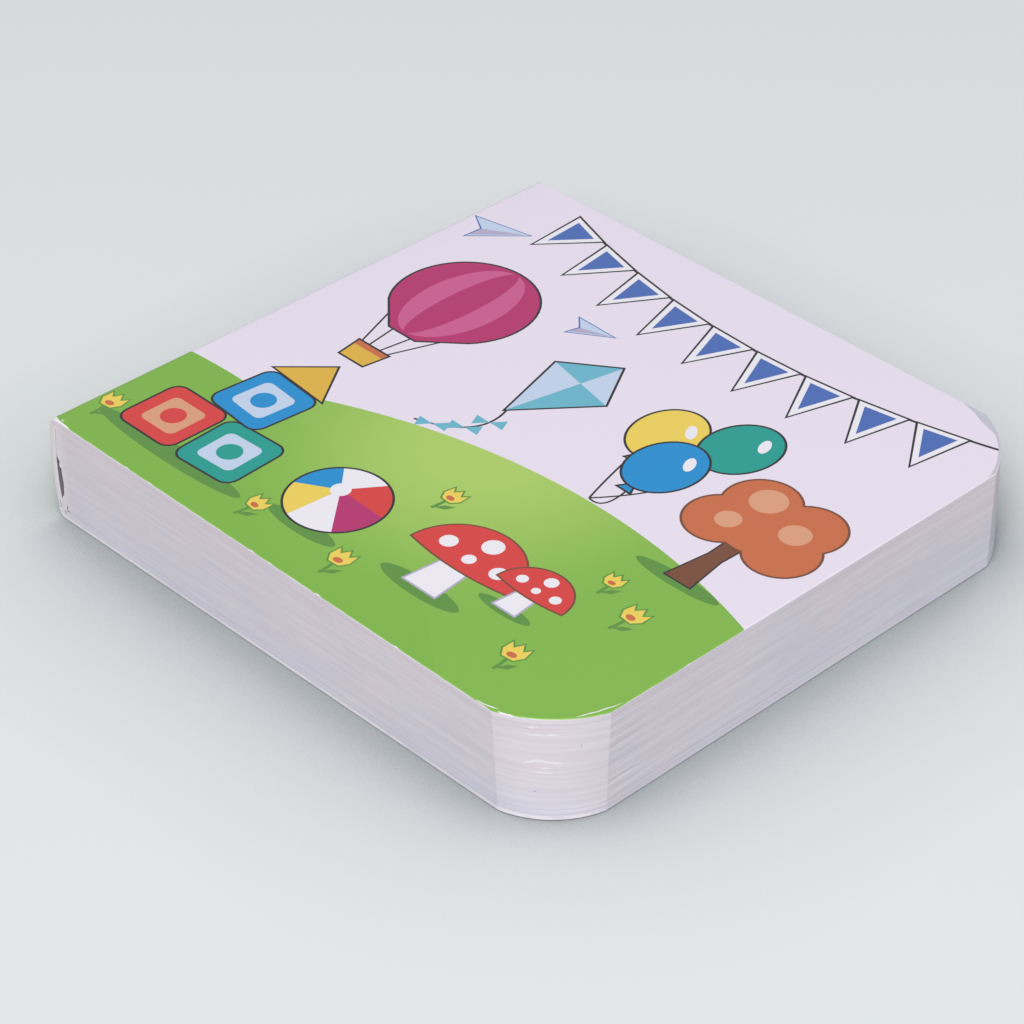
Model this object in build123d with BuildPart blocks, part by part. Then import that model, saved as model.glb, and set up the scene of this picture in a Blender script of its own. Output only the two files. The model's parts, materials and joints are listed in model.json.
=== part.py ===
from build123d import *
import math
import os

# Board book: nine thick leaves in one block, inside a wrap-around card cover.
# Every leaf is two sheets glued back to back. Each sheet folds round at the spine into
# the next leaf, so the block is one piece, and its outermost sheets line the two covers.
# The cover card runs over the front, folds down the spine and runs on under the back.
# The book lies on its back cover: +X from spine to fore-edge, +Y from tail to head, +Z up.

# Driving sizes, in millimetres and degrees
book_width = 95.6  # spine fold to fore-edge
book_height = 90.0  # tail to head
leaf_count = 9  # loose leaves between the covers
page_sheet = 0.65  # one printed sheet, half of a leaf
wrap_card = 0.9  # card of the wrap-around cover
spine_card = 1.1  # the same card down the spine, where bending has loosened its layers
spine_swell = 1.4  # what the folds add to the thickness at the spine
page_slot = 0.04  # gap between two closed leaves
glue_valley = 0.28  # how deep the valleys between the folds stay open
spine_hollow = 0.5  # room between the spine card's edges and the folds
hollow_bottom = 3.7  # the hollow between these heights is open, the rest is filled with glue
hollow_top = 10.1
hollow_taper = 1.6  # how far from each end the hollow reaches its full depth
spine_bow = 0.5  # how far the spine card bows outwards
front_fold = 1.25  # outer radius of the fold beside the front cover
back_fold = 1.45  # outer radius of the slacker fold beside the back cover
fold_seam = 0.1  # crease between the spine card and each cover
hinge_clearance = 0.12  # between an opened cover and the bowed spine card
bottom_tail_radius = 12.6  # tail fore-edge corner, in the closed book's underside
bottom_tail_crease = 14.0  # angle at which that corner's arc meets the sides
top_tail_radius = 17.0  # the same corner in the front cover's face: the cut is slanted
top_tail_crease = 20.5
bottom_head_radius = 16.8  # head fore-edge corner, in the underside and in the face
bottom_head_crease = 20.0
top_head_radius = 20.0
top_head_crease = 25.0
leaf_edge = 0.08  # eased edge of a leaf
board_edge = 0.15  # eased edge of a cover's outer face

# Sizes worked out from the driving sizes
board = wrap_card + page_sheet
fore_pitch = 2 * page_sheet
fore_thickness = 2 * board + leaf_count * fore_pitch
spine_thickness = fore_thickness + spine_swell
spine_pitch = (spine_thickness - 2 * board) / leaf_count
front_tilt = math.atan2(spine_swell, book_width)

# Places along X: the outermost point of the bowed spine and the fore-edge are as far out
fold_x = spine_bow - (book_width + spine_bow) / 2
fore_x = fold_x + book_width
card_inner_x = fold_x + spine_card
block_x = card_inner_x + spine_hollow

# Places along Z on the spine card
spine_bottom = board + fold_seam
spine_top = spine_thickness - board - fold_seam
spine_middle = (spine_bottom + spine_top) / 2

# Each cover turns about a line just outside its fold, at the height of its inner face
bow_share = board / (spine_thickness - 2 * board)
bow_beside_cover = 4 * spine_bow * bow_share * (1 - bow_share)
hinge_x = fold_x - bow_beside_cover - hinge_clearance
front_hinge_z = spine_thickness - board
back_hinge_z = board

# Inner faces of the covers: the back one lies flat, the front one sinks to the fore-edge
front_inside = Plane(
    origin=(fold_x, 0, front_hinge_z),
    x_dir=(math.cos(front_tilt), 0, -math.sin(front_tilt)),
    z_dir=(math.sin(front_tilt), 0, math.cos(front_tilt)),
)
back_inside = Plane(origin=(fold_x, 0, back_hinge_z), z_dir=(0, 0, 1))

# The sheets' folds stand half a leaf out from where the leaves start
leaf_start = block_x + spine_pitch / 2


def corner_reach(radius, crease):
    """How far along a side a corner's arc starts, when it meets the side at `crease`."""
    return radius * math.sqrt(2) * math.sin(math.radians(45 - crease))


def inset_crease(radius, crease, inset):
    """Angle at which the arc meets the side, both drawn in by `inset`."""
    drop = radius * math.cos(math.radians(crease)) - inset
    return math.degrees(math.acos(drop / (radius - inset)))


def board_plan(tail_corner, head_corner, inset=0.0):
    """Plan of a board: square at the spine, each fore-edge corner an arc (radius, crease)."""
    width = book_width - inset
    half = book_height / 2 - inset
    tail_arc = tail_corner[0] - inset
    head_arc = head_corner[0] - inset
    tail_reach = corner_reach(tail_arc, inset_crease(*tail_corner, inset))
    head_reach = corner_reach(head_arc, inset_crease(*head_corner, inset))
    with BuildSketch() as plan:
        with BuildLine():
            tail = Line((0, -half), (width - tail_reach, -half))
            fore = Line((width, tail_reach - half), (width, half - head_reach))
            head = Line((width - head_reach, half), (0, half))
            RadiusArc(tail @ 1, fore @ 0, -tail_arc)
            RadiusArc(fore @ 1, head @ 0, -head_arc)
            Line(head @ 1, tail @ 0)
        make_face()
    return plan.sketch


def corner_between(bottom, top, level):
    """A corner (radius, crease) at a share of the book's height, from 0 below to 1 above."""
    return tuple(low + (high - low) * level for low, high in zip(bottom, top))


def book_plan(level, inset=0.0):
    """Plan of the closed book at a share of its height: both corners are cut at a slant."""
    bottom_tail = (bottom_tail_radius, bottom_tail_crease)
    top_tail = (top_tail_radius, top_tail_crease)
    bottom_head = (bottom_head_radius, bottom_head_crease)
    top_head = (top_head_radius, top_head_crease)
    tail_corner = corner_between(bottom_tail, top_tail, level)
    head_corner = corner_between(bottom_head, top_head, level)
    return board_plan(tail_corner, head_corner, inset)


def seam_level(seam):
    """Share of the book's height at which seam number `seam` lies at the fore-edge."""
    return (board + seam * fore_pitch) / fore_thickness


def board_through(*layers):
    """A board whose edges run straight from each plan to the next: pairs of plane, plan."""
    with BuildPart() as boards:
        for plane, plan in layers:
            with BuildSketch(plane):
                add(plan)
        loft(ruled=True)
    return boards.part


def seam_height(x, seam):
    """Height at x of seam number `seam`: seam 0 lies on the back cover."""
    pitch = spine_pitch + (fore_pitch - spine_pitch) * (x - fold_x) / book_width
    return board + seam * pitch


def seam_plane(seam, lift):
    """Plane of a seam, raised by `lift`, with its origin above the spine fold."""
    drop = seam * (spine_pitch - fore_pitch)
    length = math.hypot(book_width, drop)
    return Plane(
        origin=(fold_x, 0, seam_height(fold_x, seam) + lift),
        x_dir=(book_width / length, 0, -drop / length),
        z_dir=(drop / length, 0, book_width / length),
    )


def leaf_board(leaf):
    """One leaf: a board that thins towards the fore-edge, with eased outer edges."""
    gap = page_slot / 2
    return board_through(
        (seam_plane(leaf, gap), book_plan(seam_level(leaf), leaf_edge)),
        (seam_plane(leaf, gap + leaf_edge), book_plan(seam_level(leaf))),
        (seam_plane(leaf + 1, -gap - leaf_edge), book_plan(seam_level(leaf + 1))),
        (seam_plane(leaf + 1, -gap), book_plan(seam_level(leaf + 1), leaf_edge)),
    )


def cover_section(fold):
    """Section across a cover: the card turns down at the spine, the sheet stops short."""
    sheet_start = spine_card + spine_hollow
    past_fore = 2 * book_width
    with BuildSketch() as section:
        with BuildLine():
            inside = Polyline(
                (0, 0),
                (spine_card, 0),
                (spine_card, page_sheet),
                (sheet_start, page_sheet),
                (sheet_start, 0),
                (past_fore, 0),
                (past_fore, board),
                (fold, board),
            )
            turn = RadiusArc(inside @ 1, (0, board - fold), -fold)
            Line(turn @ 1, inside @ 0)
        make_face()
    return section.sketch


def spine_section():
    """Section across the spine card: a strip bowed away from the block."""
    with BuildSketch() as section:
        with BuildLine():
            outside = ThreePointArc(
                (fold_x, spine_bottom),
                (fold_x - spine_bow, spine_middle),
                (fold_x, spine_top),
            )
            inside = ThreePointArc(
                (card_inner_x, spine_bottom),
                (card_inner_x - spine_bow, spine_middle),
                (card_inner_x, spine_top),
            )
            Line(outside @ 0, inside @ 0)
            Line(outside @ 1, inside @ 1)
        make_face()
    return section.sketch


def glue_section():
    """Section across the glue behind the spine card, with the hollow that it leaves open."""
    glue_start = card_inner_x - spine_bow
    glue_end = block_x + glue_valley
    with BuildSketch() as section:
        with Locations((glue_start, spine_bottom)):
            size = (glue_end - glue_start, spine_top - spine_bottom)
            Rectangle(*size, align=(Align.MIN, Align.MIN))
        with BuildLine():
            Polyline(
                (glue_start, hollow_bottom),
                (glue_end, hollow_bottom + hollow_taper),
                (glue_end, hollow_top - hollow_taper),
                (glue_start, hollow_top),
                close=True,
            )
        make_face(mode=Mode.SUBTRACT)
        add(spine_section(), mode=Mode.SUBTRACT)
    return section.sketch


leaves = [leaf_board(leaf) for leaf in range(leaf_count)]
front_board = board_through(
    (front_inside, book_plan(seam_level(leaf_count))),
    (front_inside.offset(board - board_edge), book_plan(1)),
    (front_inside.offset(board), book_plan(1, board_edge)),
)
back_board = board_through(
    (back_inside, book_plan(seam_level(0))),
    (back_inside.offset(board_edge - board), book_plan(0)),
    (back_inside.offset(-board), book_plan(0, board_edge)),
)

# Page block: the leaves, joined by the round backs of the folded sheets and by glue
with BuildPart() as page_block:
    add(leaves)
    split(bisect_by=Plane((leaf_start, 0, 0), z_dir=(1, 0, 0)), keep=Keep.TOP)
    fold_radius = (seam_height(leaf_start, 1) - seam_height(leaf_start, 0)) / 2
    first_fold = seam_height(leaf_start, 1)
    last_fold = seam_height(leaf_start, leaf_count - 1)
    with BuildSketch(Plane.XZ):
        for seam in range(1, leaf_count):
            with Locations((leaf_start, seam_height(leaf_start, seam))):
                Circle(fold_radius)
        with Locations((block_x + glue_valley, first_fold)):
            Rectangle(fold_radius, last_fold - first_fold, align=(Align.MIN, Align.MIN))
        add(glue_section())
        with Locations((leaf_start, 0)):
            Rectangle(book_width, spine_thickness, align=(Align.MIN, Align.MIN), mode=Mode.SUBTRACT)
    extrude(amount=book_height / 2, both=True)

# Front cover: card and first sheet together
with BuildPart() as front_cover:
    add(front_board)
    with BuildSketch(Plane(front_inside.origin, front_inside.x_dir, -front_inside.y_dir)):
        add(cover_section(front_fold))
    extrude(amount=book_height, both=True, mode=Mode.INTERSECT)

# Back cover: the same layers, with a slacker fold up to the spine card
with BuildPart() as back_cover:
    add(back_board)
    with BuildSketch(Plane(back_inside.origin, back_inside.x_dir, back_inside.y_dir)):
        add(cover_section(back_fold))
    extrude(amount=book_height, both=True, mode=Mode.INTERSECT)

# Spine: the strip of cover card between the two folds, bowed away from the block
with BuildPart() as spine:
    with BuildSketch(Plane.XZ):
        add(spine_section())
    extrude(amount=book_height / 2, both=True)

page_block.part.label = "page_block"
front_cover.part.label = "front_cover"
back_cover.part.label = "back_cover"
spine.part.label = "spine"

os.makedirs("parts", exist_ok=True)
export_step(page_block.part, "parts/page_block.step")
export_step(front_cover.part, "parts/front_cover.step")
export_step(back_cover.part, "parts/back_cover.step")
export_step(spine.part, "parts/spine.step")

print(f"closed book {book_width + spine_bow:.2f} x {book_height:.2f} x {spine_thickness:.2f} mm")
print(f"hinges at x {hinge_x:.3f}, z {front_hinge_z:.3f} and {back_hinge_z:.3f} mm")
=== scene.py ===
import json
import math
from itertools import accumulate

import bpy
from mathutils import Matrix, Vector, noise
from mathutils.geometry import delaunay_2d_cdt
from mathutils.kdtree import KDTree


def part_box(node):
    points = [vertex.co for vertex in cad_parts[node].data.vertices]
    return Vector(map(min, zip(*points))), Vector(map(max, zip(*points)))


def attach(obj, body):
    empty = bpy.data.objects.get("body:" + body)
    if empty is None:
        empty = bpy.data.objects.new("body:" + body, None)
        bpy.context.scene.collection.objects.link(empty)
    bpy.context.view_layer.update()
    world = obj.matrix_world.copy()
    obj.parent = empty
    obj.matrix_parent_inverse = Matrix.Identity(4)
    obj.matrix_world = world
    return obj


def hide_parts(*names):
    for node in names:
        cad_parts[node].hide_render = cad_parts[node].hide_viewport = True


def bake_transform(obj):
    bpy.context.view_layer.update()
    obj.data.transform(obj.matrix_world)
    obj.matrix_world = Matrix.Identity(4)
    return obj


# Board book of nine thick leaves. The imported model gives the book's place and size. This script
# adds the printed and laminated cover sheet, the trimmed edges of the leaves, the sheets that line
# the two hinges, the wear, the studio and the camera. Sizes are in millimetres and angles in
# degrees unless said otherwise.
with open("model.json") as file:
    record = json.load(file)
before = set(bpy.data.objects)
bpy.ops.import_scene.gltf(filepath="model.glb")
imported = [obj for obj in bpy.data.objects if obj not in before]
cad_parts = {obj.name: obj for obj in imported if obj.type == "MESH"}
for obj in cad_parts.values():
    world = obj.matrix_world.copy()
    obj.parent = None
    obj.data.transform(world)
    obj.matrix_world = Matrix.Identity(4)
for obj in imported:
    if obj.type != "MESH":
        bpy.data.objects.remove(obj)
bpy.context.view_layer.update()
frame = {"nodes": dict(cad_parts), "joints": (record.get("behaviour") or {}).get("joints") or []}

MM = 0.001


def node_box(node):
    """A node's lowest and highest corner, in millimetres."""
    low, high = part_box(node)
    return low / MM, high / MM


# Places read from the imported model
back_low, back_high = node_box("back_cover")
front_low = node_box("front_cover")[0]
spine_low, spine_high = node_box("spine")
hinges = {joint["name"]: Vector(joint["pos_m"]) / MM for joint in frame["joints"]}
front_hinge = hinges["front_cover_hinge"]
fold_x, fore_x = back_low.x, back_high.x
tail_y, head_y = back_low.y, back_high.y
book_width = fore_x - fold_x
book_height = head_y - tail_y
board = back_high.z
spine_bow = fold_x - spine_low.x
front_tilt = math.atan2(front_hinge.z - front_low.z, book_width)

# Sizes of the part that the frame doesn't tell
leaf_count = 9
page_sheet = 0.65
spine_card = 1.1
spine_hollow = 0.5
hollow_bottom, hollow_top = 3.7, 10.1
glue_valley = 0.28
crevice = 0.05  # hairline between the spine card and the glue behind it
front_fold = 1.25
back_fold = 1.45
leaf_gap = 0.006  # between two leaves that are pressed shut
board_edge = 0.15
bottom_corners = ((12.6, 14.0), (16.8, 20.0))  # tail, head: radius, and angle to the sides
top_corners = ((17.0, 20.5), (20.0, 25.0))
print_corners = ((17.0, 20.5), (17.0, 17.0))  # the print stops short of the board at the head
film = 0.03  # how proud of the card the printed paper under its gloss film is
film_skin = film * 0.9  # its drawn thickness: a hair less, to stay clear of the card
print_margin = 0.005  # from the board's cut edge to where the worn print starts

# Places worked out from these sizes, as the part does
fore_pitch = 2 * page_sheet
fore_thickness = 2 * board + leaf_count * fore_pitch
spine_pitch = (front_hinge.z - board) / leaf_count
card_inner_x = fold_x + spine_card
block_x = card_inner_x + spine_hollow
leaf_start = block_x + spine_pitch / 2


def linear(hex_colour):
    """An sRGB hex colour as linear red, green, blue and alpha."""
    channels = [int(hex_colour[i : i + 2], 16) / 255 for i in (1, 3, 5)]
    return [c / 12.92 if c <= 0.04045 else ((c + 0.055) / 1.055) ** 2.4 for c in channels] + [1.0]


def shader_of(material):
    """A material's Principled shader."""
    return material.node_tree.nodes["Principled BSDF"]


def add_node(tree, kind, inputs=None, **settings):
    """Adds a shader node with its settings, sets or links its inputs, and gives its outputs."""
    made = tree.nodes.new("ShaderNode" + kind)
    for name, value in settings.items():
        setattr(made, name, value)
    for socket, value in (inputs or {}).items():
        if isinstance(value, bpy.types.NodeSocket):
            tree.links.new(value, made.inputs[socket])
        else:
            made.inputs[socket].default_value = linear(value) if isinstance(value, str) else value
    return made.outputs


def new_material(name, roughness):
    """A material with its shader, ready for more nodes."""
    material = bpy.data.materials.new(name)
    material.use_nodes = True
    shader_of(material).inputs["Roughness"].default_value = roughness
    return material


def plug(material, socket, output):
    """Links an output to an input of the material's shader."""
    material.node_tree.links.new(output, shader_of(material).inputs[socket])


SMOOTH = {"interpolation_type": "SMOOTHSTEP"}  # a mask's edge eases in and out


def lay_over(material, share, hex_colour, most=1.0):
    """Lays a colour over what the material shows, by a share of at most `most`."""
    nodes = material.node_tree
    if most < 1:
        share = add_node(nodes, "Math", {0: share, 1: most}, operation="MULTIPLY")["Value"]
    below = shader_of(material).inputs["Base Color"].links[0].from_socket
    mixed = add_node(nodes, "Mix", {0: share, 6: below, 7: hex_colour}, data_type="RGBA")[2]
    plug(material, "Base Color", mixed)


def from_axis(nodes, place, centre):
    """Distance of a place from a line that runs along the spine through `centre`."""
    inputs = {0: place, 1: (1.0, 0.0, 1.0)}
    flat = add_node(nodes, "VectorMath", inputs, operation="MULTIPLY")["Vector"]
    axis = Vector((centre[0], 0.0, centre[1])) * MM
    return add_node(nodes, "VectorMath", {0: flat, 1: axis}, operation="DISTANCE")["Value"]


# Camera: the photograph's viewing angle
azimuth, elevation, roll = 46.97, 35.15, -0.93
bpy.ops.object.camera_add(location=(0.26428, -0.25232, 0.25947))  # metres
camera = bpy.context.object
camera.name = "camera"
camera.data.lens = 117.05
camera.data.sensor_width = 36.0
camera.rotation_euler = (
    Matrix.Rotation(math.radians(azimuth), 3, "Z")
    @ Matrix.Rotation(math.radians(90 - elevation), 3, "X")
    @ Matrix.Rotation(math.radians(roll), 3, "Z")
).to_euler()
camera.data.clip_start = 0.01  # metres
bpy.context.scene.camera = camera

# Colours of the cover print
INKS = {
    "sky": "#EDE3F2",
    "hill": "#80B746",
    "far_hill": "#84B94A",
    "blue": "#4A6DB8",
    "line": "#2B2A30",
    "white": "#F1EDF5",
    "orange": "#CD6E45",
    "peach": "#DFA07E",
    "brown": "#7A4A35",
    "cyan": "#6CB8CE",
    "red": "#DB403F",
    "magenta": "#B92D6F",
    "rose": "#CF5C92",
    "yellow": "#F0D35A",
    "gold": "#E3B541",
    "azure": "#1490D2",
    "teal": "#179E93",
    "pale_blue": "#C6D6EE",
    "lavender": "#B9AFCB",
    "grass": "#5E9440",
}

SUNLIT_PLACE = (46.0, 37.0)  # the lightest place on the hill, from the fold and from the tail
SUNLIT_REACH = (4.0, 36.0)  # distances from it at which the green starts and ends to change


def laminated_print(name, hex_colour):
    """Offset ink on white paper under a gloss film: clean colour, a soft even shine."""
    material = new_material(name, 0.32)
    nodes = material.node_tree
    shader_of(material).inputs["Base Color"].default_value = linear(hex_colour)
    shader_of(material).inputs["IOR"].default_value = 1.5
    place = add_node(nodes, "TexCoord")["Object"]
    ripple = add_node(nodes, "TexNoise", {"Vector": place, "Scale": 450.0, "Detail": 2.0})["Fac"]
    bump = add_node(nodes, "Bump", {"Height": ripple, "Strength": 0.12, "Distance": 0.02 * MM})
    plug(material, "Normal", bump["Normal"])
    return material


def sunlit_print(name, hex_colour):
    """The print of a hill: its green grows lighter towards one sunlit place."""
    material = laminated_print(name, hex_colour)
    nodes = material.node_tree
    place = add_node(nodes, "TexCoord")["Object"]
    sunlit = Vector((fold_x + SUNLIT_PLACE[0], tail_y + SUNLIT_PLACE[1], front_hinge.z)) * MM
    away = add_node(nodes, "VectorMath", {0: place, 1: sunlit}, operation="DISTANCE")["Value"]
    inputs = {0: away, 1: SUNLIT_REACH[0] * MM, 2: SUNLIT_REACH[1] * MM}
    share = add_node(nodes, "MapRange", inputs, **SMOOTH)["Result"]
    lit = add_node(nodes, "Mix", {0: share, 6: "#B0D167", 7: hex_colour}, data_type="RGBA")[2]
    plug(material, "Base Color", lit)
    return material


def mottled_card(name, dark, light, scale, detail, roughness):
    """Bare card or paper, mottled between two tones."""
    material = new_material(name, roughness)
    nodes = material.node_tree
    place = add_node(nodes, "TexCoord")["Object"]
    tone = add_node(nodes, "TexNoise", {"Vector": place, "Scale": scale, "Detail": detail})["Fac"]
    mottled = add_node(nodes, "Mix", {0: tone, 6: dark, 7: light}, data_type="RGBA")[2]
    plug(material, "Base Color", mottled)
    return material


inks = {}
for ink_name, ink_colour in INKS.items():
    recipe = sunlit_print if "hill" in ink_name else laminated_print
    inks[ink_name] = recipe(f"print_{ink_name}", ink_colour)
# Where the film is worn, cracked or cut off: bare card, matt and furred
inks["bare"] = mottled_card("bare_white_card_and_painted_highlights", "#E6DEE6", "#FAF7FA", 3500.0, 3.0, 0.9)
# Painted shade: grey card for the shaded slanted cut at the head corner
inks["cut"] = mottled_card("cut_card_painted_grey_as_shade", "#BDBCCB", "#CCCBD8", 3500.0, 3.0, 0.9)

WORN_WHITE = "#F6F0F4"  # worn card, and dried glue on it
STREAK_SCALE = (70.0, 70.0, 1500.0)  # the trimmer's streaks run along the leaves


def trimmed_board(name):
    """White paperboard cut by the trimmer: matt, faintly streaked, paler where glue dried on it."""
    material = new_material(name, 0.72)
    nodes = material.node_tree
    place = add_node(nodes, "TexCoord")["Object"]
    axes = add_node(nodes, "SeparateXYZ", {0: place})
    stretched = add_node(nodes, "Mapping", {"Vector": place, "Scale": STREAK_SCALE})["Vector"]
    streaks = add_node(nodes, "TexNoise", {"Vector": stretched, "Scale": 1.0, "Detail": 3.0})["Fac"]
    streak = add_node(nodes, "MapRange", {0: streaks, 1: 0.35, 2: 0.72}, **SMOOTH)["Result"]
    tone = add_node(nodes, "Mix", {0: streak, 6: "#D9D1DB", 7: "#E9E3EA"}, data_type="RGBA")[2]
    # Warmer towards the top, with a cloudy border
    cloud = add_node(nodes, "TexNoise", {"Vector": place, "Scale": 110.0, "Detail": 3.0})["Fac"]
    inputs = {0: axes["Z"], 1: 25.0, 2: cloud}
    height = add_node(nodes, "Math", inputs, operation="MULTIPLY_ADD")["Value"]
    warmth = add_node(nodes, "MapRange", {0: height, 1: 0.5, 2: 0.9}, **SMOOTH)["Result"]
    tint = add_node(nodes, "Mix", {0: warmth, 6: "#DBDCE9", 7: "#E9DCE2"}, data_type="RGBA")[2]
    tinted = add_node(nodes, "Mix", {0: 0.45, 6: tint, 7: tone}, data_type="RGBA")[2]
    plug(material, "Base Color", tinted)
    inputs = {0: axes["X"], 1: (fold_x + 3.2) * MM, 2: (fold_x + 1.4) * MM}
    glue = add_node(nodes, "MapRange", inputs, **SMOOTH)["Result"]
    lay_over(material, glue, WORN_WHITE, 0.4)
    bump = add_node(nodes, "Bump", {"Height": streaks, "Strength": 0.3, "Distance": 0.035 * MM})
    plug(material, "Normal", bump["Normal"])
    return material


def spine_board(name, centre, radius):
    """The spine card: scuffed outside, white and fibrous within, with painted shade on its face
    towards the hollow.
    """
    material = trimmed_board(name)
    nodes = material.node_tree
    coordinates = add_node(nodes, "TexCoord")
    place = coordinates["Object"]
    scuffs = add_node(nodes, "TexNoise", {"Vector": place, "Scale": 1100.0, "Detail": 3.0})["Fac"]
    inputs = {0: scuffs, 1: 0.5 * MM, 2: from_axis(nodes, place, centre)}
    ragged = add_node(nodes, "Math", inputs, operation="MULTIPLY_ADD")["Value"]
    inputs = {0: ragged, 1: (radius - 0.1) * MM, 2: (radius - 0.5) * MM}
    within = add_node(nodes, "MapRange", inputs, **SMOOTH)["Result"]
    share = add_node(nodes, "Math", {0: within, 1: 0.55, 2: 0.05}, operation="MULTIPLY_ADD")
    lay_over(material, share["Value"], WORN_WHITE)
    # Painted shade: the face that looks into the hollow is darkened
    facing = add_node(nodes, "SeparateXYZ", {0: coordinates["Normal"]})["X"]
    inwards = add_node(nodes, "MapRange", {0: facing, 1: 0.6, 2: 0.8}, **SMOOTH)["Result"]
    lay_over(material, inwards, "#8E868D")
    return material


def card_edge(name, side, height, tilt, fold_centre, fold_radius, pale_line):
    """The cut edge of a cover: a pale line under the print, the line of the glue, and painted shade
    on upward faces.
    """
    material = trimmed_board(name)
    nodes = material.node_tree
    coordinates = add_node(nodes, "TexCoord")
    place = coordinates["Object"]
    axes = add_node(nodes, "SeparateXYZ", {0: place})

    # Depth under the print: from the cover's flat face, or from the round of its fold
    outwards = (math.sin(tilt), 0.0, side * math.cos(tilt))
    face = fold_x * outwards[0] + height * outwards[2]
    along = add_node(nodes, "VectorMath", {0: place, 1: outwards}, operation="DOT_PRODUCT")["Value"]
    depth = add_node(nodes, "Math", {0: face * MM, 1: along}, operation="SUBTRACT")["Value"]
    inputs = {0: fold_radius * MM, 1: from_axis(nodes, place, fold_centre)}
    fold_depth = add_node(nodes, "Math", inputs, operation="SUBTRACT")["Value"]
    inputs = {0: axes["X"], 1: fold_centre[0] * MM}
    on_fold = add_node(nodes, "Math", inputs, operation="LESS_THAN")["Value"]
    chosen = add_node(nodes, "Mix", {0: on_fold, 2: depth, 3: fold_depth})[0]

    # A pale line under the print, broken here and there and along the tail side only
    pale_line_width, pale_line_share = pale_line
    inputs = {0: chosen, 1: (pale_line_width + 0.15) * MM, 2: (pale_line_width - 0.15) * MM}
    near_print = add_node(nodes, "MapRange", inputs, **SMOOTH)["Result"]
    breaks = add_node(nodes, "TexNoise", {"Vector": place, "Scale": 300.0, "Detail": 2.0})["Fac"]
    unbroken = add_node(nodes, "MapRange", {0: breaks, 1: 0.2, 2: 0.6}, **SMOOTH)["Result"]
    inputs = {0: axes["Y"], 1: (tail_y + 12.0) * MM, 2: (tail_y + 4.0) * MM}
    at_tail = add_node(nodes, "MapRange", inputs, **SMOOTH)["Result"]
    pale_share = add_node(nodes, "Math", {0: near_print, 1: unbroken}, operation="MULTIPLY")["Value"]
    pale_share = add_node(nodes, "Math", {0: pale_share, 1: at_tail}, operation="MULTIPLY")["Value"]
    lay_over(material, pale_share, "#F5EFF3", pale_line_share)

    # The line of glue between the card and the sheet inside it
    inputs = {0: depth, 1: (board - page_sheet) * MM}
    from_glue = add_node(nodes, "Math", inputs, operation="SUBTRACT")["Value"]
    from_glue = add_node(nodes, "Math", {0: from_glue}, operation="ABSOLUTE")["Value"]
    line = add_node(nodes, "MapRange", {0: from_glue, 1: 0.1 * MM, 2: 0.03 * MM}, **SMOOTH)
    lay_over(material, line["Result"], "#A79DB4", 0.18)

    # Painted shade: the card's upward faces, bare where the print stops short of the cut, are
    # greyed as a shaded cut
    facing = add_node(nodes, "SeparateXYZ", {0: coordinates["Normal"]})["Z"]
    bare = add_node(nodes, "MapRange", {0: facing, 1: 0.8, 2: 0.95}, **SMOOTH)["Result"]
    lay_over(material, bare, "#C3C2D0", 0.9)
    return material


def front_point(along, lift):
    """Place (x, z) on the front cover, from the fold along its inner face and up from it."""
    x = fold_x + along * math.cos(front_tilt) + lift * math.sin(front_tilt)
    z = front_hinge.z - along * math.sin(front_tilt) + lift * math.cos(front_tilt)
    return x, z


def arc(centre, radius, start, end, steps):
    """Points on an arc between two angles, in degrees."""
    turns = [math.radians(start + (end - start) * i / steps) for i in range(steps + 1)]
    return [(centre[0] + radius * math.cos(t), centre[1] + radius * math.sin(t)) for t in turns]


def bow_circle(x):
    """Centre and radius of the circle of the spine card's bow, which starts and ends at x."""
    half = (spine_high.z - spine_low.z) / 2
    radius = (half * half + spine_bow * spine_bow) / (2 * spine_bow)
    return (x - spine_bow + radius, (spine_high.z + spine_low.z) / 2), radius


def bow_arc(x, steps):
    """The line of the spine card's bow, from its top edge to its bottom edge."""
    centre, radius = bow_circle(x)
    swing = math.degrees(math.asin((spine_high.z - spine_low.z) / 2 / radius))
    return arc(centre, radius, 180 - swing, 180 + swing, steps)


front_face_z = front_hinge.z + board / math.cos(front_tilt)
front_fold_centre = front_point(front_fold, board - front_fold)
back_fold_centre = (fold_x + back_fold, back_fold)
cut_board = trimmed_board("trimmed_white_board")
# The hollow behind the spine: card with dried glue, painted dark as the shade inside the hollow
hollow_shade_card = mottled_card("card_painted_dark_as_hollow_shade", "#7C747B", "#A59CA4", 700.0, 2.0, 0.6)
cad_materials = {
    "page_block": cut_board,
    "spine": spine_board("spine_card", *bow_circle(fold_x)),
    "front_cover": card_edge(
        "front_card_edge", 1, front_face_z, front_tilt, front_fold_centre, front_fold, (0.4, 0.4)
    ),
    "back_cover": card_edge(
        "back_card_edge", -1, 0.0, 0.0, back_fold_centre, back_fold, (0.62, 0.9)
    ),
}
for node_name, material in cad_materials.items():
    cad_object = frame["nodes"][node_name]
    cad_object.data.materials.clear()
    cad_object.data.materials.append(material)


hinge_lap = 0.08  # how far the bending print reaches past each hinge, on the cover's fold
# The line that the card's outer face follows, seen from the tail
wrap_line = [front_point(book_width, board)]
front_round = arc((front_fold, board - front_fold), front_fold, 90, 180, 10)
wrap_line += [front_point(*point) for point in front_round]
wrap_line += [front_point(0, hinge_lap)]
front_end = len(wrap_line) - 1
wrap_line += bow_arc(fold_x, 16)
spine_start, spine_end = front_end + 1, len(wrap_line) - 1
wrap_line += [(fold_x, board - hinge_lap)]
back_start = len(wrap_line) - 1
wrap_line += arc(back_fold_centre, back_fold, 180, 270, 12)
wrap_line += [(fore_x, 0.0)]

# Distance from the fold along the print: positive over the front cover, negative round the spine
stretches = [math.dist(*ends) for ends in zip(wrap_line, wrap_line[1:])]
travelled = list(accumulate(stretches, initial=0.0))
wrap_x = [travelled[1] + front_fold - distance for distance in travelled]


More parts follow.
